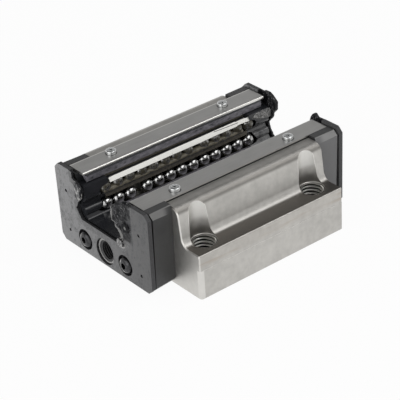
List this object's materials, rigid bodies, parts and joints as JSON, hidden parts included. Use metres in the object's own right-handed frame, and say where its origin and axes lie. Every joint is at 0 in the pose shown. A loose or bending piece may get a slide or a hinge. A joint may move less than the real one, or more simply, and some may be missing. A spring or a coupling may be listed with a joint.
{
  "type": "linear guide block",
  "caption": "Flanged ball carriage of a profile-rail linear guide, lying on its mounting face, with recirculating ball rows, end plates, end seals and side seals round the rail channel.",
  "frame": {"origin": "centre of the mounting face, which lies on the ground plane", "axes": "+Y along the travel with the front end at -Y, +Z out of the mounting face towards the rail, +X to the right"},
  "size_m": [0.07, 0.083, 0.0305],
  "materials": {
    "ground_steel": "ground and tumbled",
    "dark_moulding": "moulded matt",
    "seal_grey": "rubber-faced plate",
    "lip_rubber": "worn and greasy",
    "dark_screw": "dark oxide",
    "strip_steel": "rolled sheet",
    "wall_rubber": "smooth",
    "bright_screw": "bright zinc",
    "cream_resin": "moulded",
    "ball_steel": "polished"
  },
  "bodies": {
    "carriage": {"carriage_block": "ground_steel", "front_end_plate": "dark_moulding", "rear_end_plate": "dark_moulding", "front_end_seal": "seal_grey", "rear_end_seal": "seal_grey", "front_seal_lip": "lip_rubber", "rear_seal_lip": "lip_rubber", "front_end_screws": "dark_screw", "rear_end_screws": "dark_screw", "left_seal_strip": "strip_steel", "right_seal_strip": "strip_steel", "floor_retainer": "strip_steel", "left_seal_rubber": "wall_rubber", "right_seal_rubber": "wall_rubber", "left_strip_screws": "bright_screw", "right_strip_screws": "bright_screw", "left_ball_retainer": "cream_resin", "right_ball_retainer": "cream_resin", "left_lower_front_return_guide": "dark_moulding", "left_lower_rear_return_guide": "dark_moulding", "left_upper_front_return_guide": "dark_moulding", "left_upper_rear_return_guide": "dark_moulding", "right_lower_front_return_guide": "dark_moulding", "right_lower_rear_return_guide": "dark_moulding", "right_upper_front_return_guide": "dark_moulding", "right_upper_rear_return_guide": "dark_moulding"},
    "left_lower_load_row": {"left_lower_load_balls": "ball_steel"},
    "left_lower_return_row": {"left_lower_return_balls": "ball_steel"},
    "left_lower_front_turn": {"left_lower_front_turn_balls": "ball_steel"},
    "left_lower_rear_turn": {"left_lower_rear_turn_balls": "ball_steel"},
    "left_upper_load_row": {"left_upper_load_balls": "ball_steel"},
    "left_upper_return_row": {"left_upper_return_balls": "ball_steel"},
    "left_upper_front_turn": {"left_upper_front_turn_balls": "ball_steel"},
    "left_upper_rear_turn": {"left_upper_rear_turn_balls": "ball_steel"},
    "right_lower_load_row": {"right_lower_load_balls": "ball_steel"},
    "right_lower_return_row": {"right_lower_return_balls": "ball_steel"},
    "right_lower_front_turn": {"right_lower_front_turn_balls": "ball_steel"},
    "right_lower_rear_turn": {"right_lower_rear_turn_balls": "ball_steel"},
    "right_upper_load_row": {"right_upper_load_balls": "ball_steel"},
    "right_upper_return_row": {"right_upper_return_balls": "ball_steel"},
    "right_upper_front_turn": {"right_upper_front_turn_balls": "ball_steel"},
    "right_upper_rear_turn": {"right_upper_rear_turn_balls": "ball_steel"}
  },
  "joints": [
    {"name": "left_lower_load_row_slide", "type": "slide", "parent": "carriage", "child": "left_lower_load_row", "axis": [0, -1, 0], "range_m": [0, 0.00485]},
    {"name": "left_lower_return_row_slide", "type": "slide", "parent": "carriage", "child": "left_lower_return_row", "axis": [0, 1, 0], "range_m": [0, 0.00485]},
    {"name": "left_lower_front_turn_swing", "type": "hinge", "parent": "carriage", "child": "left_lower_front_turn", "pos_m": [-0.01515, -0.0301, 0.01262], "axis": [0.6691, 0, -0.7431], "range_deg": [0, 81.9]},
    {"name": "left_lower_rear_turn_swing", "type": "hinge", "parent": "carriage", "child": "left_lower_rear_turn", "pos_m": [-0.01515, 0.0301, 0.01262], "axis": [0.6691, 0, -0.7431], "range_deg": [0, 81.9]},
    {"name": "left_upper_load_row_slide", "type": "slide", "parent": "carriage", "child": "left_upper_load_row", "axis": [0, -1, 0], "range_m": [0, 0.00485]},
    {"name": "left_upper_return_row_slide", "type": "slide", "parent": "carriage", "child": "left_upper_return_row", "axis": [0, 1, 0], "range_m": [0, 0.00485]},
    {"name": "left_upper_front_turn_swing", "type": "hinge", "parent": "carriage", "child": "left_upper_front_turn", "pos_m": [-0.01605, -0.0301, 0.0221], "axis": [-0.1616, 0, -0.9869], "range_deg": [0, 81.9]},
    {"name": "left_upper_rear_turn_swing", "type": "hinge", "parent": "carriage", "child": "left_upper_rear_turn", "pos_m": [-0.01605, 0.0301, 0.0221], "axis": [-0.1616, 0, -0.9869], "range_deg": [0, 81.9]},
    {"name": "right_lower_load_row_slide", "type": "slide", "parent": "carriage", "child": "right_lower_load_row", "axis": [0, -1, 0], "range_m": [0, 0.00485]},
    {"name": "right_lower_return_row_slide", "type": "slide", "parent": "carriage", "child": "right_lower_return_row", "axis": [0, 1, 0], "range_m": [0, 0.00485]},
    {"name": "right_lower_front_turn_swing", "type": "hinge", "parent": "carriage", "child": "right_lower_front_turn", "pos_m": [0.01515, -0.0301, 0.01262], "axis": [0.6691, 0, 0.7431], "range_deg": [0, 81.9]},
    {"name": "right_lower_rear_turn_swing", "type": "hinge", "parent": "carriage", "child": "right_lower_rear_turn", "pos_m": [0.01515, 0.0301, 0.01262], "axis": [0.6691, 0, 0.7431], "range_deg": [0, 81.9]},
    {"name": "right_upper_load_row_slide", "type": "slide", "parent": "carriage", "child": "right_upper_load_row", "axis": [0, -1, 0], "range_m": [0, 0.00485]},
    {"name": "right_upper_return_row_slide", "type": "slide", "parent": "carriage", "child": "right_upper_return_row", "axis": [0, 1, 0], "range_m": [0, 0.00485]},
    {"name": "right_upper_front_turn_swing", "type": "hinge", "parent": "carriage", "child": "right_upper_front_turn", "pos_m": [0.01605, -0.0301, 0.0221], "axis": [-0.1616, 0, 0.9869], "range_deg": [0, 81.9]},
    {"name": "right_upper_rear_turn_swing", "type": "hinge", "parent": "carriage", "child": "right_upper_rear_turn", "pos_m": [0.01605, 0.0301, 0.0221], "axis": [-0.1616, 0, 0.9869], "range_deg": [0, 81.9]}
  ],
  "couplings": [
    {"joint": "left_lower_return_row_slide", "follows": "left_lower_load_row_slide", "ratio": 1},
    {"joint": "left_lower_front_turn_swing", "follows": "left_lower_load_row_slide", "rad_per_m": 294.61},
    {"joint": "left_lower_rear_turn_swing", "follows": "left_lower_load_row_slide", "rad_per_m": 294.61},
    {"joint": "left_upper_return_row_slide", "follows": "left_upper_load_row_slide", "ratio": 1},
    {"joint": "left_upper_front_turn_swing", "follows": "left_upper_load_row_slide", "rad_per_m": 294.61},
    {"joint": "left_upper_rear_turn_swing", "follows": "left_upper_load_row_slide", "rad_per_m": 294.61},
    {"joint": "right_lower_return_row_slide", "follows": "right_lower_load_row_slide", "ratio": 1},
    {"joint": "right_lower_front_turn_swing", "follows": "right_lower_load_row_slide", "rad_per_m": 294.61},
    {"joint": "right_lower_rear_turn_swing", "follows": "right_lower_load_row_slide", "rad_per_m": 294.61},
    {"joint": "right_upper_return_row_slide", "follows": "right_upper_load_row_slide", "ratio": 1},
    {"joint": "right_upper_front_turn_swing", "follows": "right_upper_load_row_slide", "rad_per_m": 294.61},
    {"joint": "right_upper_rear_turn_swing", "follows": "right_upper_load_row_slide", "rad_per_m": 294.61}
  ]
}
